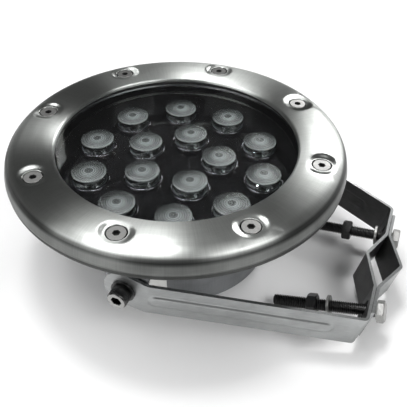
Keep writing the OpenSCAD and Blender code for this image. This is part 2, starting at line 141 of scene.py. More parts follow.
CAMERA_PLACE = Vector((0.1344, -0.2912, 0.3156))
CAMERA_LOOK = Vector((-0.2745, 0.7001, -0.6592))
CAMERA_ROLL = math.radians(0.78)
CAMERA_LENS = 49.4
CAMERA_SENSOR = 36

# Lights: name, place and size in metres, and power in watts. All of them aim at LIGHT_AIM.
LIGHT_AIM = (0, 0, 0.09)
LIGHTS = [
    ("key", (-0.24, 0.16, 1.45), (0.28, 0.28), 7),
    ("left_sky", (-0.85, -0.1, 2.2), (1.6, 0.7), 20),
    ("right_sky", (1.5, -0.6, 1.8), (1.6, 1.2), 26),
    ("right_box", (0.15, 1.35, 0.92), (0.50, 0.42), 8),
    ("front_box", (-0.9, -1.5, 0.9), (1.6, 1.2), 16),
]
WORLD_LIGHT = 0.06
FLOOR_SIZE = 6


def camera():
    data = bpy.data.cameras.new("camera")
    data.lens = CAMERA_LENS
    data.sensor_width = CAMERA_SENSOR
    data.clip_start = 0.01
    cam = bpy.data.objects.new("camera", data)
    bpy.context.scene.collection.objects.link(cam)
    cam.rotation_mode = "QUATERNION"
    cam.location = CAMERA_PLACE
    roll = Quaternion((0, 0, 1), CAMERA_ROLL)
    cam.rotation_quaternion = CAMERA_LOOK.to_track_quat("-Z", "Y") @ roll
    bpy.context.scene.camera = cam


def softbox(name, location, size, power):
    """A rectangular area light that faces LIGHT_AIM."""
    data = bpy.data.lights.new(name, "AREA")
    data.shape = "RECTANGLE"
    data.size, data.size_y = size
    data.energy = power
    lamp = bpy.data.objects.new(name, data)
    bpy.context.scene.collection.objects.link(lamp)
    lamp.location = location
    lamp.rotation_mode = "QUATERNION"
    lamp.rotation_quaternion = (Vector(LIGHT_AIM) - Vector(location)).to_track_quat("-Z", "Y")


def studio():
    """The white floor, the faint world light and the area lights."""
    world = bpy.data.worlds.new("studio")
    world.use_nodes = True
    backdrop = world.node_tree.nodes["Background"]
    backdrop.inputs["Color"].default_value = (1, 1, 1, 1)
    backdrop.inputs["Strength"].default_value = WORLD_LIGHT
    bpy.context.scene.world = world
    for row in LIGHTS:
        softbox(*row)
    bpy.ops.mesh.primitive_plane_add(size=FLOOR_SIZE)
    floor = bpy.context.object
    floor.name = "floor"
    floor.data.materials.append(plain("floor_paper", (0.92, 0.92, 0.92), 0.9))
    bpy.context.scene.view_settings.view_transform = "Standard"


# ---- materials ----


def new_material(name):
    material = bpy.data.materials.new(name)
    material.use_nodes = True
    return material, material.node_tree, material.node_tree.nodes["Principled BSDF"]


def plain(name, colour, roughness):
    material, _tree, shader = new_material(name)
    shader.inputs["Base Color"].default_value = (*colour, 1)
    shader.inputs["Roughness"].default_value = roughness
    return material


def add(tree, kind, **settings):
    made = tree.nodes.new(kind)
    for key, value in settings.items():
        setattr(made, key, value)
    return made


def maths(tree, operation, a, b=None):
    made = add(tree, "ShaderNodeMath", operation=operation)
    for socket, value in zip(made.inputs, (a, b)):
        if isinstance(value, (int, float)):
            socket.default_value = value
        elif value is not None:
            tree.links.new(value, socket)
    return made.outputs[0]


def place(tree):
    return add(tree, "ShaderNodeTexCoord").outputs["Object"]


def turned_place(tree):
    """Coordinates round the Z axis: a tenth of the angle, the radius and the height."""
    split = add(tree, "ShaderNodeSeparateXYZ")
    tree.links.new(place(tree), split.inputs[0])
    x, y, z = split.outputs
    angle = maths(tree, "MULTIPLY", maths(tree, "ARCTAN2", y, x), 0.1)
    squares = maths(tree, "ADD", maths(tree, "MULTIPLY", x, x), maths(tree, "MULTIPLY", y, y))
    radius = maths(tree, "SQRT", squares)
    join = add(tree, "ShaderNodeCombineXYZ")
    for socket, value in zip(join.inputs, (angle, radius, z)):
        tree.links.new(value, socket)
    return join.outputs[0]


def noise(tree, coords, stretch, detail=4.0, roughness=0.6):
    scale = add(tree, "ShaderNodeMapping")
    scale.inputs["Scale"].default_value = stretch
    tree.links.new(coords, scale.inputs["Vector"])
    made = add(tree, "ShaderNodeTexNoise")
    made.inputs["Scale"].default_value = 1.0
    made.inputs["Detail"].default_value = detail
    made.inputs["Roughness"].default_value = roughness
    tree.links.new(scale.outputs[0], made.inputs["Vector"])
    return made.outputs["Fac"]


def remap(tree, value, low, high, start=0.3, end=0.7):
    """Maps a value from start..end onto low..high, without going beyond them."""
    made = add(tree, "ShaderNodeMapRange")
    for name, number in (("From Min", start), ("From Max", end), ("To Min", low), ("To Max", high)):
        made.inputs[name].default_value = number
    tree.links.new(value, made.inputs["Value"])
    return made.outputs[0]


def tint(tree, value, dark, light):
    made = add(tree, "ShaderNodeMix", data_type="RGBA")
    made.inputs["A"].default_value = (*dark, 1)
    made.inputs["B"].default_value = (*light, 1)
    tree.links.new(value, made.inputs["Factor"])
    return made.outputs["Result"]


def grey_ramp(tree, value, rows, low, high):
    """Turns a value from 0 to 1 into a grey; rows are places between low and high, each with its shade."""
    ramp = add(tree, "ShaderNodeValToRGB")
    tree.links.new(value, ramp.inputs[0])
    stops = ramp.color_ramp.elements
    for i, (at, shade) in enumerate(rows):
        stop = stops[i] if i < 2 else stops.new(1.0)
        stop.position = (at - low) / (high - low)
        stop.color = (shade, shade, shade, 1)
    return ramp.outputs[0]


def bump(tree, shader, height, strength, distance):
    made = add(tree, "ShaderNodeBump")
    made.inputs["Strength"].default_value = strength
    made.inputs["Distance"].default_value = distance
    tree.links.new(height, made.inputs["Height"])
    tree.links.new(made.outputs[0], shader.inputs["Normal"])


def steel(name, colour, roughness, coords, grain, depth=0.15, patch=45.0):
    """Brushed steel: fine grain stretched along the brushing, with faint broad stains.

    Turned steel has its grain round the Z axis, with fainter hairlines across it and a highlight
    that spreads sideways.
    """
    material, tree, shader = new_material(name)
    where = turned_place(tree) if coords == "turned" else place(tree)
    fine = noise(tree, where, grain, 3.0)
    broad = noise(tree, place(tree), (patch, patch, patch), 2.0)
    marks = fine
    if coords == "turned":
        hairlines = noise(tree, where, HAIRLINES, 3.0)
        marks = maths(tree, "MULTIPLY", maths(tree, "ADD", fine, hairlines), 0.5)
    both = maths(tree, "MULTIPLY", maths(tree, "ADD", marks, broad), 0.5)
    dark = tuple(c * 0.7 for c in colour)
    shade = remap(tree, both, 0, 1, 0.36, 0.64)
    tree.links.new(tint(tree, shade, dark, colour), shader.inputs["Base Color"])
    tree.links.new(remap(tree, both, roughness * 1.2, roughness * 0.8), shader.inputs["Roughness"])
    shader.inputs["Metallic"].default_value = 1.0
    if coords == "turned":
        shader.inputs["Anisotropic"].default_value = 0.95
        shader.inputs["Anisotropic Rotation"].default_value = 0.25
        round_axis = add(tree, "ShaderNodeTangent", direction_type="RADIAL", axis="Z")
        tree.links.new(round_axis.outputs[0], shader.inputs["Tangent"])
    bump(tree, shader, fine, depth, 0.0002)
    return material


def paint_skirt_shade(material):
    """Paints shade and highlight bands into the ring's skirt by height, standing in for what the skirt reflects,
    and leaves its inner lip as it is.
    """
    tree = material.node_tree
    shader = tree.nodes["Principled BSDF"]
    base = shader.inputs["Base Color"].links[0].from_socket
    split = add(tree, "ShaderNodeSeparateXYZ")
    tree.links.new(turned_place(tree), split.inputs[0])
    height = remap(tree, split.outputs[2], 0, 1, SKIRT_LOW * MM, SKIRT_HIGH * MM)
    bands = grey_ramp(tree, height, SKIRT_PAINTED_BANDS, SKIRT_LOW, SKIRT_HIGH)
    inside = remap(tree, split.outputs[1], 1, 0, LIP_R * MM, LIP_END_R * MM)
    shade = maths(tree, "MAXIMUM", bands, inside)
    mix = add(tree, "ShaderNodeMix", data_type="RGBA", blend_type="MULTIPLY")
    mix.inputs["Factor"].default_value = 1.0
    tree.links.new(base, mix.inputs["A"])
    tree.links.new(shade, mix.inputs["B"])
    tree.links.new(mix.outputs["Result"], shader.inputs["Base Color"])
    return material


def moulded(name, colour, roughness, scale=900.0, depth=0.1, metallic=0.0, coat=0.0):
    """Moulded, painted or cast surface: fine grain and slight shade variation."""
    material, tree, shader = new_material(name)
    fine = noise(tree, place(tree), (scale, scale, scale), 3.0)
    broad = noise(tree, place(tree), (60.0, 60.0, 60.0), 2.0)
    light = tuple(min(1.0, c * 1.3) for c in colour)
    tree.links.new(tint(tree, remap(tree, broad, 0, 1), colour, light), shader.inputs["Base Color"])
    rough = remap(tree, broad, roughness * 0.85, roughness * 1.15)
    tree.links.new(rough, shader.inputs["Roughness"])
    shader.inputs["Metallic"].default_value = metallic
    shader.inputs["Coat Weight"].default_value = coat
    bump(tree, shader, fine, depth, 0.0001)
    return material


def clear(name, colour, roughness, ior, gloss):
    """Clear glass or plastic that lets lamp light through."""
    material, tree, shader = new_material(name)
    shader.inputs["Base Color"].default_value = (*colour, 1)
    shader.inputs["Transmission Weight"].default_value = 1.0
    shader.inputs["IOR"].default_value = ior
    shader.inputs["Specular Tint"].default_value = (gloss, gloss, gloss, 1)
    smears = noise(tree, place(tree), (30.0, 30.0, 30.0), 3.0)
    tree.links.new(remap(tree, smears, roughness * 0.7, roughness * 1.3), shader.inputs["Roughness"])
    rays = add(tree, "ShaderNodeLightPath")
    through = add(tree, "ShaderNodeBsdfTransparent")
    mix = add(tree, "ShaderNodeMixShader")
    tree.links.new(rays.outputs["Is Shadow Ray"], mix.inputs[0])
    tree.links.new(shader.outputs[0], mix.inputs[1])
    tree.links.new(through.outputs[0], mix.inputs[2])
    tree.links.new(mix.outputs[0], tree.nodes["Material Output"].inputs["Surface"])
    return material


def beaded(name):
    """The lenses' beaded tops: rows of fine beads round a painted dark centre, with a painted pale rim and a
    painted lighter side.

    It reads each point's place from its own lens's axis, in millimetres, which lenses() stores.
    """
    material, tree, shader = new_material(name)
    local = add(tree, "ShaderNodeAttribute", attribute_name="from_lens_axis")
    split = add(tree, "ShaderNodeSeparateXYZ")
    tree.links.new(local.outputs["Vector"], split.inputs[0])
    length = add(tree, "ShaderNodeVectorMath", operation="LENGTH")
    tree.links.new(local.outputs["Vector"], length.inputs[0])
    radius = length.outputs["Value"]
    cells = add(tree, "ShaderNodeTexVoronoi", feature="F1")
    cells.inputs["Scale"].default_value = BEADS_PER_MM
    cells.inputs["Randomness"].default_value = 0.15
    tree.links.new(local.outputs["Vector"], cells.inputs["Vector"])
    bead = maths(tree, "SUBTRACT", 1.0, cells.outputs["Distance"])
    rows = maths(tree, "SINE", maths(tree, "MULTIPLY", radius, BEAD_ROW_WAVE))
    texture = maths(tree, "MULTIPLY", remap(tree, bead, 0.2, 1.7), remap(tree, rows, 0.6, 1.3, -1, 1))
    painted_zones = grey_ramp(tree, maths(tree, "DIVIDE", radius, LENS_R), LENS_PAINTED_SHADES, 0.0, LENS_R)
    # Painted light: each lens top grows lighter towards +x and -y, as if lit from that side
    painted_light = maths(tree, "MULTIPLY", maths(tree, "SUBTRACT", split.outputs[0], split.outputs[1]), 0.05)
    painted_light_texture = maths(tree, "MULTIPLY", texture, maths(tree, "ADD", painted_light, 1.0))
    shade = maths(tree, "MULTIPLY", painted_zones, painted_light_texture)
    tree.links.new(tint(tree, shade, (0.0, 0.0, 0.0), (0.88, 0.95, 0.97)), shader.inputs["Base Color"])
    shader.inputs["Roughness"].default_value = 0.22
    shader.inputs["Transmission Weight"].default_value = 0.25
    bump(tree, shader, bead, 0.5, 0.0004)
    return material


# ---- mesh helpers, all in millimetres ----


def rounded(points, radii, steps=8):
    """The open path with each inner corner replaced by an arc."""
    points = [Vector(p) for p in points]
    path = [points[0]]
    for a, b, c, r in zip(points, points[1:], points[2:], radii[1:]):
        back = (a - b).normalized()
        ahead = (c - b).normalized()
        half = back.angle(ahead) / 2
        centre = b + (back + ahead).normalized() * r / math.sin(half)
        start = b + back * r / math.tan(half) - centre
        end = b + ahead * r / math.tan(half) - centre
        first = math.atan2(start.y, start.x)
        turn = (math.atan2(end.y, end.x) - first + math.pi) % (2 * math.pi) - math.pi
        for i in range(steps + 1):
            angle = first + turn * i / steps
            path.append(centre + r * Vector((math.cos(angle), math.sin(angle))))
    return path + [points[-1]]


def moved(path, distance):
    """The path shifted sideways by a distance, to its left."""
    out = []
    last = len(path) - 1
    for i, p in enumerate(path):
        j, k = max(i, 1), min(i, last - 1)
        before = (path[j] - path[j - 1]).normalized()
        after = (path[k + 1] - path[k]).normalized()
        middle = (before + after).normalized()
        out.append(p + distance / middle.dot(after) * Vector((-middle.y, middle.x)))
    return out


def resampled(path, step):
    """The path with its long stretches cut into lengths of about one step."""
    out = [path[0]]
    for a, b in zip(path, path[1:]):
        count = max(1, round((b - a).length / step))
        out += [a.lerp(b, i / count) for i in range(1, count + 1)]
    return out


def finish_piece(name, mesh, body, material, replaced=(), smooth=30.0, place_at=None):
    """Scales a mesh from millimetres, links it, shades it and rides it on its body.

    Edges stay sharp where faces meet at more than the angle smooth, in degrees.
    """
    if place_at is not None:
        mesh.transform(place_at)
    mesh.transform(Matrix.Scale(MM, 4))
    mesh.materials.append(material)
    piece = bpy.data.objects.new(name, mesh)
    bpy.context.scene.collection.objects.link(piece)
    mesh.shade_smooth()
    mesh.set_sharp_from_angle(angle=math.radians(smooth))
    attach(piece, body)
    if replaced:
        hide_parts(*replaced)
    return piece


def soft_edges(piece, width, angle=55.0):
    """Rounds the edges that are sharper than an angle in degrees, by a width in millimetres."""
    edges = piece.modifiers.new("edges", "BEVEL")
    edges.width = width * MM
    edges.segments = 2
    edges.limit_method = "ANGLE"
    edges.angle_limit = math.radians(angle)


def mesh_from(verts, faces, shades=None):
    """A mesh with its faces turned outwards; shades gives the material slot of each face."""
    mesh = bpy.data.meshes.new("mesh")
    mesh.from_pydata([tuple(v) for v in verts], [], faces)
    if shades:
        mesh.polygons.foreach_set("material_index", shades)
    bm = bmesh.new()
    bm.from_mesh(mesh)
    bmesh.ops.remove_doubles(bm, verts=bm.verts, dist=0.0005)
    bmesh.ops.recalc_face_normals(bm, faces=bm.faces)
    bm.to_mesh(mesh)
    bm.free()
    return mesh


def loops_mesh(loops, closed=False):
    """Joins loops of equal length with quads; open ends are capped, or the last loop joins the first."""
    n = len(loops[0])
    verts = [p for loop in loops for p in loop]
    faces = []
    pairs = list(zip(range(len(loops)), range(1, len(loops))))
    if closed:
        pairs.append((len(loops) - 1, 0))
    for a, b in pairs:
        for j in range(n):
            k = (j + 1) % n
            faces.append((a * n + j, a * n + k, b * n + k, b * n + j))
    if not closed:
        faces.append(tuple(range(n)))
        faces.append(tuple((len(loops) - 1) * n + j for j in range(n - 1, -1, -1)))
    return verts, faces


def hex_radius(angle, across):
    """Distance from the middle of a hexagon to its edge at an angle, with a corner at angle 0."""
    return across / 2 / math.cos((angle % (math.pi / 3)) - math.pi / 6)


def ring_loop(radius, z, n):
    """A loop of n points; radius and z are numbers or functions of the angle."""
    out = []
    for j in range(n):
        a = 2 * math.pi * j / n
        r = radius(a) if callable(radius) else radius
        h = z(a) if callable(z) else z
        out.append((r * math.cos(a), r * math.sin(a), h))
    return out


def lathe(profile, n=96, closed=False):
    """A profile of radii and heights turned round the Z axis."""
    return loops_mesh([ring_loop(r, z, n) for r, z in profile], closed)


def around(count, radius, start, z=0.0):
    """Places on a circle, each turned to face outwards."""
    out = Matrix.Translation((radius, 0, z))
    return [Matrix.Rotation(math.radians(start + 360 * i / count), 4, "Z") @ out for i in range(count)]


def join_shapes(shapes):
    """Several shapes, each a list of verts and one of faces, as one."""
    verts, faces = [], []
    for shape_verts, shape_faces in shapes:
        start = len(verts)
        verts += shape_verts
        faces += [tuple(start + i for i in f) for f in shape_faces]
    return verts, faces


def copies(shape, places):
    """The same shape at several places, as one."""
    verts, faces = shape
    return join_shapes([([matrix @ Vector(v) for v in verts], faces) for matrix in places])


def smoothstep(low, high, x):
    t = min(1.0, max(0.0, (x - low) / (high - low)))
    return t * t * (3 - 2 * t)


# ---- face ring ----


def height_on(path, r):
    """Height of a path that runs outwards, at radius r."""
    for a, b in zip(path, path[1:]):
        if a.x <= r <= b.x:
            return a.y + (b.y - a.y) * (r - a.x) / (b.x - a.x)
    raise ValueError("radius off the path")


def face_ring(material):
    """The pressed ring: a lathed sheet with a patch of round loops at each dimple and screw hole.

    Each sector of the ring has its screw at its first step, and a patch reaches spread steps to
    either side of it, between the radii face_in and face_out.
    """
    face_in = 88.0
    face_out = 112.4
    face_rows = 26
    steps = 90
    spread = 15
    total = SCREW_COUNT * steps
    sector = 360 / SCREW_COUNT
    base = rounded(RING_PATH, RING_RADII, 10)
    verts, faces = [], []

    def point(angle, r, z):
        verts.append((r * math.cos(angle), r * math.sin(angle), z))
        return len(verts) - 1

    rows = {}
    for surface, offset in (("top", RING_SHEET / 2), ("under", -RING_SHEET / 2)):
        path = moved(base, offset)
        inside = [p for p in path if p.x < face_in and p.y > 89]
        outside = [p for p in path if p.x > face_out]
        face_r = [face_in + (face_out - face_in) * i / face_rows for i in range(face_rows + 1)]
        line = resampled(inside + [Vector((face_in, height_on(path, face_in)))], 1.0)
        first = len(line) - 1
        line = line[:-1] + [Vector((r, height_on(path, r))) for r in face_r]
        last = len(line) - 1
        line += resampled([line[-1]] + outside, 1.2)[1:]
        grid = [[None] * len(line) for _ in range(total)]
        for j in range(total):
            angle = math.radians(SCREW_START + j * sector / steps)
            off = (j + spread) % steps
            for i, p in enumerate(line):
                if not (0 < off < 2 * spread and first < i < last):
                    grid[j][i] = point(angle, p.x, p.y)
        for j in range(total):
            off = (j + spread) % steps
            for i in range(len(line) - 1):
                if not (off < 2 * spread and first <= i < last):
                    k = (j + 1) % total
                    faces.append((grid[j][i], grid[k][i], grid[k][i + 1], grid[j][i + 1]))
        holes = []
        flat = HEAD_PLANE if surface == "top" else HEAD_PLANE - RING_SHEET
        for s in range(SCREW_COUNT):
            mid = s * steps
            columns = [(mid + d) % total for d in range(-spread, spread + 1)]
            edge = [grid[columns[0]][i] for i in range(first, last + 1)]
            edge += [grid[j][last] for j in columns[1:]]
            edge += [grid[columns[-1]][i] for i in range(last - 1, first - 1, -1)]
            edge += [grid[j][first] for j in columns[-2:0:-1]]
            turn = math.radians(SCREW_START + s * sector)
            centre = Vector((math.cos(turn), math.sin(turn))) * SCREW_CIRCLE_R
            bearings = [math.atan2(verts[v][1] - centre.y, verts[v][0] - centre.x) for v in edge]
            loop = edge
            radii = [DIMPLE_RIM_R - 0.4 * i for i in range(14)] + [SCREW_HOLE_R]
            for rho in radii:
                ring = []
                for bearing in bearings:
                    x = centre.x + rho * math.cos(bearing)
                    y = centre.y + rho * math.sin(bearing)
                    r = math.hypot(x, y)
                    lift = smoothstep(DIMPLE_FLAT_R, DIMPLE_RIM_R, rho)
                    z = flat + (height_on(path, r) - flat) * lift
                    ring.append(point(math.atan2(y, x), r, z))
                n = len(ring)
                faces += [(loop[a], loop[(a + 1) % n], ring[(a + 1) % n], ring[a]) for a in range(n)]
                loop = ring
            holes.append(loop)
        rows[surface] = (grid, holes)
    top_grid, top_holes = rows["top"]
    under_grid, under_holes = rows["under"]
    for end in (0, -1):
        for j in range(total):
            k = (j + 1) % total
            faces.append((top_grid[j][end], top_grid[k][end], under_grid[k][end], under_grid[j][end]))
    for a, b in zip(top_holes, under_holes):
        n = len(a)
        faces += [(a[i], a[(i + 1) % n], b[(i + 1) % n], b[i]) for i in range(n)]
    sheet = mesh_from(verts, faces)
    piece = finish_piece("face_ring_sheet", sheet, "lamp", material, ["face_ring"], 50)
    soft_edges(piece, 0.3)


# ---- fasteners ----


# Points in a loop that follows a hexagon, socket sizes across flats, and the distance from the
# lamp's middle plane to the underside of each pivot screw's head
HEX_POINTS = 60
M6_SOCKET = 4.0
M8_SOCKET = 6.0
CAP_UNDER = 102.3


def socket_loops(across, depth, z, n, rim):
    """Loops from the rim of a hexagon socket down to its conical bottom."""
    hexagon = lambda a: hex_radius(a, across)
    return [ring_loop(lambda a: hexagon(a) + rim, z, n), ring_loop(hexagon, z - rim, n),
            ring_loop(hexagon, z - depth, n), ring_loop(CLOSED_R, z - depth - across * 0.2, n)]


def in_socket(face, verts, top):
    """Whether a face of a ring screw lies inside its socket."""
    middle = [sum(verts[v][i] for v in face) / len(face) for i in range(3)]
    centres = [at.to_translation() for at in around(SCREW_COUNT, SCREW_CIRCLE_R, SCREW_START)]
    across = min(math.hypot(middle[0] - c.x, middle[1] - c.y) for c in centres)
    return top - 3.6 < middle[2] < top - 0.05 and across < M6_SOCKET * 0.65


def ring_screws(material, dark):
    """Countersunk screws seated in the dimples; the dark material goes inside their sockets as painted shade."""
    n = HEX_POINTS
    top = HEAD_PLANE - 0.15
    shank_end = 78.3
    loops = [ring_loop(CLOSED_R, shank_end, n), ring_loop(2.4, shank_end, n),
             ring_loop(3.0, shank_end + 0.6, n), ring_loop(3.0, top - 3.0, n),
             ring_loop(5.75, top - 0.3, n), ring_loop(5.8, top - 0.15, n), ring_loop(5.65, top, n)]
    loops += socket_loops(M6_SOCKET, 2.5, top, n, 0.2)
    verts, faces = copies(loops_mesh(loops), around(SCREW_COUNT, SCREW_CIRCLE_R, SCREW_START))
    # The faces inside each socket take the dark material: painted shade
    mesh = mesh_from(verts, faces, [1 if in_socket(face, verts, top) else 0 for face in faces])
    piece = finish_piece("ring_screw_set", mesh, "lamp", material, ["ring_screws"], 12)
    piece.data.materials.append(dark)


def pivot_screws(material, bright):
    """Knurled cap screws; the bright material goes on the flat ring round each socket as a painted highlight."""
    n = 240
    knurls = 60
    under = CAP_UNDER
    face = under + 8.0
    knurl = lambda a: 6.5 - 0.16 * (0.5 + 0.5 * math.cos(knurls * a))
    loops = [ring_loop(CLOSED_R, under - 20, n), ring_loop(3.2, under - 20, n),
             ring_loop(M8_R, under - 19.2, n), ring_loop(M8_R, under, n), ring_loop(6.2, under, n),
             ring_loop(knurl, under + 0.4, n), ring_loop(knurl, under + 3.7, n), ring_loop(knurl, face - 1.0, n),
             ring_loop(6.3, face - 0.55, n), ring_loop(5.8, face, n), ring_loop(4.2, face, n)]
    loops += socket_loops(M8_SOCKET, 4.0, face, n, 0.2)
    for name, side in SIDES.items():
        turn = Matrix.Translation((PIVOT.x, 0, PIVOT.z)) @ Matrix.Rotation(-side * math.pi / 2, 4, "X")
        mesh = mesh_from(*loops_mesh(loops))
        node = name + "_pivot_screw"
        finish_piece(name + "_cap_screw", mesh, "lamp", material, [node], 35, turn)
        hexagon = lambda a: hex_radius(a, M8_SOCKET)
        # The flat ring round the socket is a piece in lighter steel: a painted highlight on the dark cap's face
        highlight_land = [ring_loop(5.95, face - 0.2, HEX_POINTS), ring_loop(5.75, face + 0.08, HEX_POINTS),
                ring_loop(lambda a: hexagon(a) + 0.35, face + 0.08, HEX_POINTS),
                ring_loop(lambda a: hexagon(a) + 0.1, face - 0.2, HEX_POINTS)]
        mesh = mesh_from(*loops_mesh(highlight_land, closed=True))
        finish_piece(name + "_cap_face_highlight", mesh, "lamp", bright, [], 15, turn)


def thread(start, end, r, pitch, n=32):
    """A right-hand V thread along +Z as one wound strip, with a tapered start and open ends."""
    depth = 0.61 * pitch
    form = [(0.0, r), (0.14, r), (0.5, r - depth), (0.62, r - depth)]
    turns = int((end - start) / pitch) - 1
    verts, faces = [], []
    count = turns * n + 1
    for t in range(count + n):
        angle = 2 * math.pi * t / n
        for share, radius in form:
            z = start + pitch * (t / n + share)
            tapered = r - 1.0 + (z - start) * 1.2
            out = min(radius, tapered, r)
            verts.append((out * math.cos(angle), out * math.sin(angle), min(z, end)))
    k = len(form)
    for t in range(count):
        for i in range(k - 1):
            faces.append((t * k + i, (t + 1) * k + i, (t + 1) * k + i + 1, t * k + i + 1))
        if t + n + 1 < count + n:
            faces.append((t * k + k - 1, (t + 1) * k + k - 1, (t + 1 + n) * k, (t + n) * k))
    return verts, faces


def bolt_place(name):
    """A clamp bolt's place: its Z axis runs from the tip to the head."""
    side = SIDES[name]
    stack = Matrix.Translation((STACK_X, side * BOLT_Y, -side * BOLT_LIFT))
    return IN_YOKE @ stack @ Matrix.Rotation(math.pi / 2 - DROOP[name], 4, "Y")


def hex_head(z0, height, n=HEX_POINTS):
    """A hexagon head with a chamfered crown and a washer face underneath."""
    top = z0 + height
    crown = M8_AF / 2 * 0.95
    chamfer = math.tan(math.radians(30))
    hexagon = lambda a: hex_radius(a, M8_AF)
    return [ring_loop(CLOSED_R, z0, n), ring_loop(6.0, z0, n), ring_loop(6.1, z0 + 0.3, n),
            ring_loop(hexagon, z0 + 0.3, n),
            ring_loop(hexagon, lambda a: top - (hexagon(a) - crown) * chamfer - 0.05, n),
            ring_loop(crown, top, n), ring_loop(CLOSED_R, top, n)]


def clamp_bolts(dark, bright):
    for name in SIDES:
        rod = mesh_from(*thread(TIP_AT, HEAD_AT - 3, M8_R, M8_PITCH))
        root_r = M8_R - 0.78
        core_profile = [(CLOSED_R, TIP_AT + 0.15), (2.9, TIP_AT + 0.15), (root_r, TIP_AT + 0.5),
                        (root_r, HEAD_AT - 5), (M8_R, HEAD_AT - 4), (M8_R, HEAD_AT), (CLOSED_R, HEAD_AT)]
        core = mesh_from(*lathe(core_profile, 48))
        head = mesh_from(*loops_mesh(hex_head(HEAD_AT, 5.3)))
        where = bolt_place(name)
        node = name + "_clamp_bolt"
        finish_piece(name + "_bolt_thread", rod, "jaw", dark, [node], 25, where)
        finish_piece(name + "_bolt_core", core, "jaw", dark, [], 30, where)
        finish_piece(name + "_bolt_head", head, "jaw", bright, [], 25, where)


def hex_nut_shape(z0, bore, n=HEX_POINTS):
    """A hexagon nut chamfered on both faces, with a countersunk bore."""
    z1 = z0 + NUT_H
    crown = M8_AF / 2 * 0.97
    slope = math.tan(math.radians(30))
    hexagon = lambda a: hex_radius(a, M8_AF)
    loops = [ring_loop(bore, z0 + 0.5, n), ring_loop(bore + 0.5, z0, n), ring_loop(crown, z0, n),
             ring_loop(hexagon, lambda a: z0 + (hexagon(a) - crown) * slope + 0.05, n),
             ring_loop(hexagon, lambda a: z1 - (hexagon(a) - crown) * slope - 0.05, n),
             ring_loop(crown, z1, n), ring_loop(bore + 0.5, z1, n), ring_loop(bore, z1 - 0.5, n)]
    return loops_mesh(loops, closed=True)


def spring_washer_shape(z0, n=72):
    """A split ring of square section whose two ends stand apart."""
    inner = 4.1
    outer = 7.15
    thick = 1.7
    rise = 0.9
    gap = 12.0
    loops = []
    for i in range(n + 1):
        angle = math.radians(gap / 2 + (360 - gap) * i / n)
        z = z0 + rise * (i / n - 0.5)
        section = [(inner, 0.1), (inner + 0.1, 0), (outer - 0.1, 0), (outer, 0.1), (outer, thick - 0.1),
                   (outer - 0.1, thick), (inner + 0.1, thick), (inner, thick - 0.1)]
        loops.append([(r * math.cos(angle), r * math.sin(angle), z + h) for r, h in section])
    return loops_mesh(loops)


def nuts_and_washers(dark, bright):
    for name in SIDES:
        where = bolt_place(name)
        nut = mesh_from(*hex_nut_shape(NUT_AT[name], M8_R + 0.06))
        node = name + "_lock_nut"
        finish_piece(name + "_free_nut", nut, name + "_nut", dark, [node], 25, where)
        ring = mesh_from(*spring_washer_shape(SPRING_AT[name]))
        node = name + "_spring_washer"
        finish_piece(name + "_split_ring", ring, name + "_washer", bright, [node], 30, where)


# ---- bent strips ----


def mirrored_path(half, radii):
    """The rounded path through some points and then their mirror images in the middle plane."""
    points = [(x, -y) for x, y in half] + [(x, y) for x, y in half[-2::-1]]
    return resampled(rounded(points, radii, 8), 1.3)


def strip_mesh(path, half_width, thickness, relief):
    """A bent strip whose middle follows path in XY.

    half_width gives half its height along Z, and relief how far a point is pressed outwards. The
    faces on its inner side get the second material slot, which the yoke and the clamp plate fill with
    a darker copy of their steel as painted shade.
    """
    cells = 40
    lengths = [0.0]
    for a, b in zip(path, path[1:]):
        lengths.append(lengths[-1] + (b - a).length)
    normals = []
    last = len(path) - 1
    for i in range(len(path)):
        j, k = max(i, 1), min(i, last - 1)
        before = (path[j] - path[j - 1]).normalized()
        after = (path[k + 1] - path[k]).normalized()
        direction = (before + after).normalized()
        normals.append(Vector((direction.y, -direction.x)))
    verts, faces = [], []
    for face_side in (1, -1):
        for i, p in enumerate(path):
            half = half_width(lengths[i], lengths[-1])
            for c in range(cells + 1):
                w = half * (2 * c / cells - 1)
                out = face_side * thickness / 2 + relief(lengths[i], lengths[-1], w)
                spot = p + normals[i] * out
                verts.append((spot.x, spot.y, w))
    row = cells + 1
    half_count = len(path) * row
    inner_start = (len(path) - 1) * cells
    for s in (0, half_count):
        for i in range(len(path) - 1):
            for c in range(cells):
                a = s + i * row + c
                faces.append((a, a + 1, a + row + 1, a + row))
    for i in range(len(path) - 1):
        for c in (0, cells):
            a, b = i * row + c, (i + 1) * row + c
            faces.append((a, b, half_count + b, half_count + a))
    for i in (0, len(path) - 1):
        for c in range(cells):
            a = i * row + c
            faces.append((a, a + 1, half_count + a + 1, half_count + a))
    shades = [1 if inner_start <= i < 2 * inner_start else 0 for i in range(len(faces))]
    return mesh_from(verts, faces, shades)


# Length of the cutters, and turns that lay a cutter's own Z axis along Y or X
CUT_DEPTH = 8.0
ALONG_Y = Matrix.Rotation(math.pi / 2, 4, "X")
ALONG_X = Matrix.Rotation(math.pi / 2, 4, "Y")


def slot_tool(r, half, place_at):
    """A stadium-shaped cutter: its round ends lie half a slot to each side of the middle, along its X."""
    n = 48
    loops = []
    for z in (-CUT_DEPTH / 2, CUT_DEPTH / 2):
        loop = []
        for j in range(n):
            a = 2 * math.pi * (j + 0.5) / n
            loop.append((r * math.cos(a) + math.copysign(half, math.cos(a)), r * math.sin(a), z))
        loops.append(loop)
    return copies(loops_mesh(loops), [place_at])


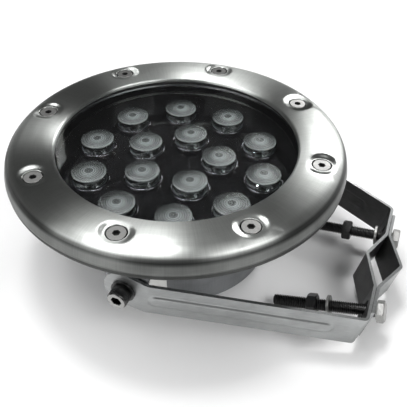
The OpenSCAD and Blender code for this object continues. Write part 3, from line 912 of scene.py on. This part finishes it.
def cut_slots(piece, slots):
    """Cuts slots and round holes: each is a radius, half a straight length and a place, in millimetres."""
    tool_mesh = mesh_from(*join_shapes([slot_tool(*slot) for slot in slots]))
    tool_mesh.transform(Matrix.Scale(MM, 4))
    tool = bpy.data.objects.new("slot_tool", tool_mesh)
    bpy.context.scene.collection.objects.link(tool)
    cut = piece.modifiers.new("slots", "BOOLEAN")
    cut.operation = "DIFFERENCE"
    cut.object = tool
    graph = bpy.context.evaluated_depsgraph_get()
    done = bpy.data.meshes.new_from_object(piece.evaluated_get(graph))
    piece.modifiers.clear()
    piece.data = done
    bpy.data.objects.remove(tool)
    bpy.data.meshes.remove(tool_mesh)


def bolt_hole_place(x, side):
    """The place of a clamp bolt's slot in the yoke's back or in the clamp plate."""
    return IN_YOKE @ Matrix.Translation((x, side * BOLT_Y, 0)) @ ALONG_X


def yoke(material, shaded_material):
    """The U yoke: round lobes at the pivots, a pressed rib on each arm and a V in the back.

    In its inner functions s is a distance along the strip, of length total, and w a height across it.
    """
    arm = ARM_OUT - STRIP_T / 2
    half = [(-LOBE_R, arm), (BEND_X, arm), (BACK_X, CORNER_Y), (BACK_X, V_HALF), (BACK_X - V_DEPTH, 0)]
    path = mirrored_path(half, [0, 12, 3.5, 4, 3, 4, 3.5, 12, 0])
    rib_start = 30.0
    rib_end = 148.0
    rib_half = 5.2
    rib_rise = 1.2
    rib_soft = 1.8
    neck_len = 14

    def half_width(s, total):
        x = min(s, total - s) - LOBE_R
        if x < 0:
            return max(math.sqrt(max(LOBE_R * LOBE_R - x * x, 0.0)), CLOSED_R)
        return STRIP_W / 2 + (LOBE_R - STRIP_W / 2) * (1 - smoothstep(0, neck_len, x))

    def relief(s, total, w):
        x = min(s, total - s)
        along = min(x - rib_start, rib_end - x)
        if along < 0:
            return 0.0
        from_line = math.hypot(max(rib_half - along, 0), w)
        return rib_rise * (1 - smoothstep(rib_half - rib_soft, rib_half + 0.2, from_line))

    mesh = strip_mesh(path, half_width, STRIP_T, relief)
    piece = finish_piece("yoke_strip", mesh, "yoke", material, ["yoke_bracket"], 50, IN_YOKE)
    # The inner faces take a darker copy of the steel: painted shade
    piece.data.materials.append(shaded_material)
    slots = []
    for side in SIDES.values():
        slots.append((M8_R + 0.1, 0.0, IN_YOKE @ Matrix.Translation((0, side * arm, 0)) @ ALONG_Y))
        slots.append((SLOT_R, SLOT_HALF, bolt_hole_place(BACK_X, side)))
    cut_slots(piece, slots)
    soft_edges(piece, 0.25)


def clamp_plate(material, shaded_material):
    """The outer V plate, with an upright slot at each bolt."""
    half = [(JAW_X, JAW_HALF), (JAW_X, V_HALF), (JAW_X + JAW_DEPTH, 0)]
    path = mirrored_path(half, [0, 4, 3, 4, 0])
    mesh = strip_mesh(path, lambda s, total: STRIP_W / 2, STRIP_T, lambda s, total, w: 0.0)
    node = "clamp_plate"
    piece = finish_piece("clamp_plate_strip", mesh, "jaw", material, [node], 50, IN_YOKE)
    # The inner faces take a darker copy of the steel: painted shade
    piece.data.materials.append(shaded_material)
    cut_slots(piece, [(SLOT_R, SLOT_HALF, bolt_hole_place(JAW_X, side)) for side in SIDES.values()])
    soft_edges(piece, 0.25)


# ---- lenses ----


def lenses(glass, bead_material, collar_material, chip_material):
    """Collimator lenses: a beaded top over a tapered clear body, with a glossy collar and a chip below."""
    foot = BOARD_TOP
    top = LENS_TOP - 0.9
    body = [(3.0, foot), (7.0, foot), (10.4, PLATE_TOP - 0.5), (11.3, PLATE_TOP + 0.6),
            (LENS_R - 0.1, top - 1.2), (LENS_R, top - 0.7), (LENS_R - 0.25, top - 0.15),
            (LENS_R - 0.8, top), (8.0, top + 0.35), (4.0, top + 0.55), (1.5, top + 0.6),
            (CLOSED_R, top + 0.6)]
    cup = [(CLOSED_R, foot + 3.6), (2.6, foot + 3.2)]
    places = around(*OUTER_LENSES) + around(*INNER_LENSES)
    verts, faces = copies(lathe(cup + body, 64), places)
    beads_from = top - 0.72
    tops = [1 if all(verts[v][2] > beads_from for v in face) else 0 for face in faces]
    mesh = mesh_from(verts, faces, tops)
    piece = finish_piece("lens_set", mesh, "lamp", glass, ["led_lenses"], 40)
    piece.data.materials.append(bead_material)
    from_axis = piece.data.attributes.new("from_lens_axis", "FLOAT_VECTOR", "POINT")
    centres = [at.to_translation() for at in places]
    for vertex, out in zip(piece.data.vertices, from_axis.data):
        x, y = vertex.co.x / MM, vertex.co.y / MM
        nearest = min(centres, key=lambda c: math.hypot(c.x - x, c.y - y))
        out.vector = (x - nearest.x, y - nearest.y, 0)
    bead_r = 0.9
    collar = [(LENS_R + 0.2, PLATE_TOP - 0.4)]
    for degrees in range(0, 181, 20):
        a = math.radians(degrees)
        collar.append((LENS_R + 1.1 - bead_r * math.cos(a), PLATE_TOP + bead_r * math.sin(a)))
    collar += [(LENS_R + 2.0, PLATE_TOP - 0.4)]
    shape = copies(lathe(collar, 64, closed=True), places)
    finish_piece("lens_collars", mesh_from(*shape), "lamp", collar_material, [], 60)
    chip_top = foot + 1.2
    dome_r = 2.3
    dome_h = 1.9
    dome = [(CLOSED_R, chip_top)]
    for degrees in range(0, 90, 15):
        a = math.radians(degrees)
        dome.append((dome_r * math.cos(a), chip_top + dome_h * math.sin(a)))
    dome.append((CLOSED_R, chip_top + dome_h))
    shape = copies(lathe(dome, 32), places)
    finish_piece("chip_domes", mesh_from(*shape), "lamp", chip_material, [], 40)


def tray_edge(material):
    """The turned metal edge that shows round the black tray, under the glass."""
    profile = [(TRAY_R - 1.5, TRAY_TOP - 0.3), (TRAY_R - 1.2, TRAY_TOP + 0.15),
               (TRAY_R - 0.1, TRAY_TOP + 0.15), (TRAY_R + 0.1, TRAY_TOP - 0.3)]
    mesh = mesh_from(*lathe(profile, 180, closed=True))
    finish_piece("tray_rim", mesh, "lamp", material, [], 30)


# ---- the whole object ----


def materials():
    """A procedural material for each slot of the record, and three that only some faces or pieces use."""
    ring = steel("ring_steel", (0.60, 0.62, 0.60), 0.34, "turned", (60.0, 4000.0, 2500.0), 0.04)
    housing = steel("housing_metal", (0.30, 0.31, 0.32), 0.42, "turned", (80.0, 3000.0, 4000.0), 0.08)
    copper = steel("copper_winding", (0.70, 0.33, 0.14), 0.3, "straight", (2500.0, 2500.0, 600.0))
    return {
        # The ring's steel, with painted shade and highlight bands on its skirt
        "ring_steel": paint_skirt_shade(ring),
        "yoke_steel": steel("yoke_steel", (0.40, 0.41, 0.41), 0.36, "straight", STRIP_GRAIN),
        "screw_steel": steel("screw_steel", (0.44, 0.44, 0.43), 0.42, "straight", FINE_GRAIN),
        "pivot_steel": steel("pivot_steel", (0.10, 0.10, 0.10), 0.25, "straight", FINE_GRAIN),
        "bolt_steel": steel("bolt_steel", (0.09, 0.09, 0.09), 0.35, "straight", FINE_GRAIN),
        "housing_metal": housing,
        "gland_metal": steel("gland_metal", (0.72, 0.71, 0.69), 0.2, "straight", (600.0, 600.0, 600.0)),
        "front_glass": clear("front_glass", (0.98, 1.0, 0.99), 0.01, 1.45, 0.3),
        "lens_clear": clear("lens_clear", (0.80, 0.86, 0.88), 0.05, 1.45, 1.0),
        "black_plate": moulded("black_plate", (0.003, 0.003, 0.0033), 0.08, 300.0, 0.03),
        "seal_rubber": moulded("seal_rubber", (0.012, 0.012, 0.012), 0.6),
        "led_emitter": moulded("led_emitter", (0.02, 0.02, 0.018), 0.3),
        "led_board": moulded("led_board", (0.035, 0.042, 0.046), 0.4),
        "heat_spreader": steel("heat_spreader", (0.72, 0.72, 0.74), 0.3, "turned", (60.0, 4000.0, 900.0)),
        "driver_board": moulded("driver_board", (0.02, 0.16, 0.07), 0.35, 200.0),
        "standoff_brass": steel("standoff_brass", (0.75, 0.55, 0.25), 0.25, "straight", FINE_GRAIN),
        "capacitor_sleeve": moulded("capacitor_sleeve", (0.02, 0.03, 0.12), 0.35),
        "transformer_bobbin": moulded("transformer_bobbin", (0.42, 0.30, 0.05), 0.45),
        "copper_winding": copper,
        "chip_black": moulded("chip_black", (0.015, 0.015, 0.015), 0.5),
        "terminal_green": moulded("terminal_green", (0.03, 0.26, 0.10), 0.4),
        "wire_sheath": moulded("wire_sheath", (0.35, 0.03, 0.02), 0.4),
        "plate_white": moulded("plate_white", (0.72, 0.72, 0.70), 0.45),
        # A darker copy of the yoke's steel for the strips' inner faces: painted shade
        "yoke_steel_painted_shade": steel("yoke_steel_painted_shade", (0.12, 0.12, 0.12), 0.55, "straight", STRIP_GRAIN),
        "collar_gloss": moulded("collar_gloss", (0.10, 0.10, 0.11), 0.16, 300.0, 0.03, 1.0),
        "lens_beads": beaded("lens_beads"),
    }


def dress_frame(made):
    """Gives every CAD node the procedural material of its slot."""
    for row in frame["record"]["subparts"]:
        node = frame["nodes"][row["node"]]
        node.data.materials.clear()
        node.data.materials.append(made[row["material_slot"]])


camera()
studio()
MATERIALS = materials()
dress_frame(MATERIALS)
face_ring(MATERIALS["ring_steel"])
# The seal rubber paints shade inside the screw sockets
ring_screws(MATERIALS["screw_steel"], MATERIALS["seal_rubber"])
pivot_screws(MATERIALS["pivot_steel"], MATERIALS["screw_steel"])
clamp_bolts(MATERIALS["bolt_steel"], MATERIALS["screw_steel"])
nuts_and_washers(MATERIALS["bolt_steel"], MATERIALS["screw_steel"])
yoke(MATERIALS["yoke_steel"], MATERIALS["yoke_steel_painted_shade"])
clamp_plate(MATERIALS["yoke_steel"], MATERIALS["yoke_steel_painted_shade"])
lenses(MATERIALS["lens_clear"], MATERIALS["lens_beads"], MATERIALS["collar_gloss"], MATERIALS["led_emitter"])
tray_edge(MATERIALS["housing_metal"])
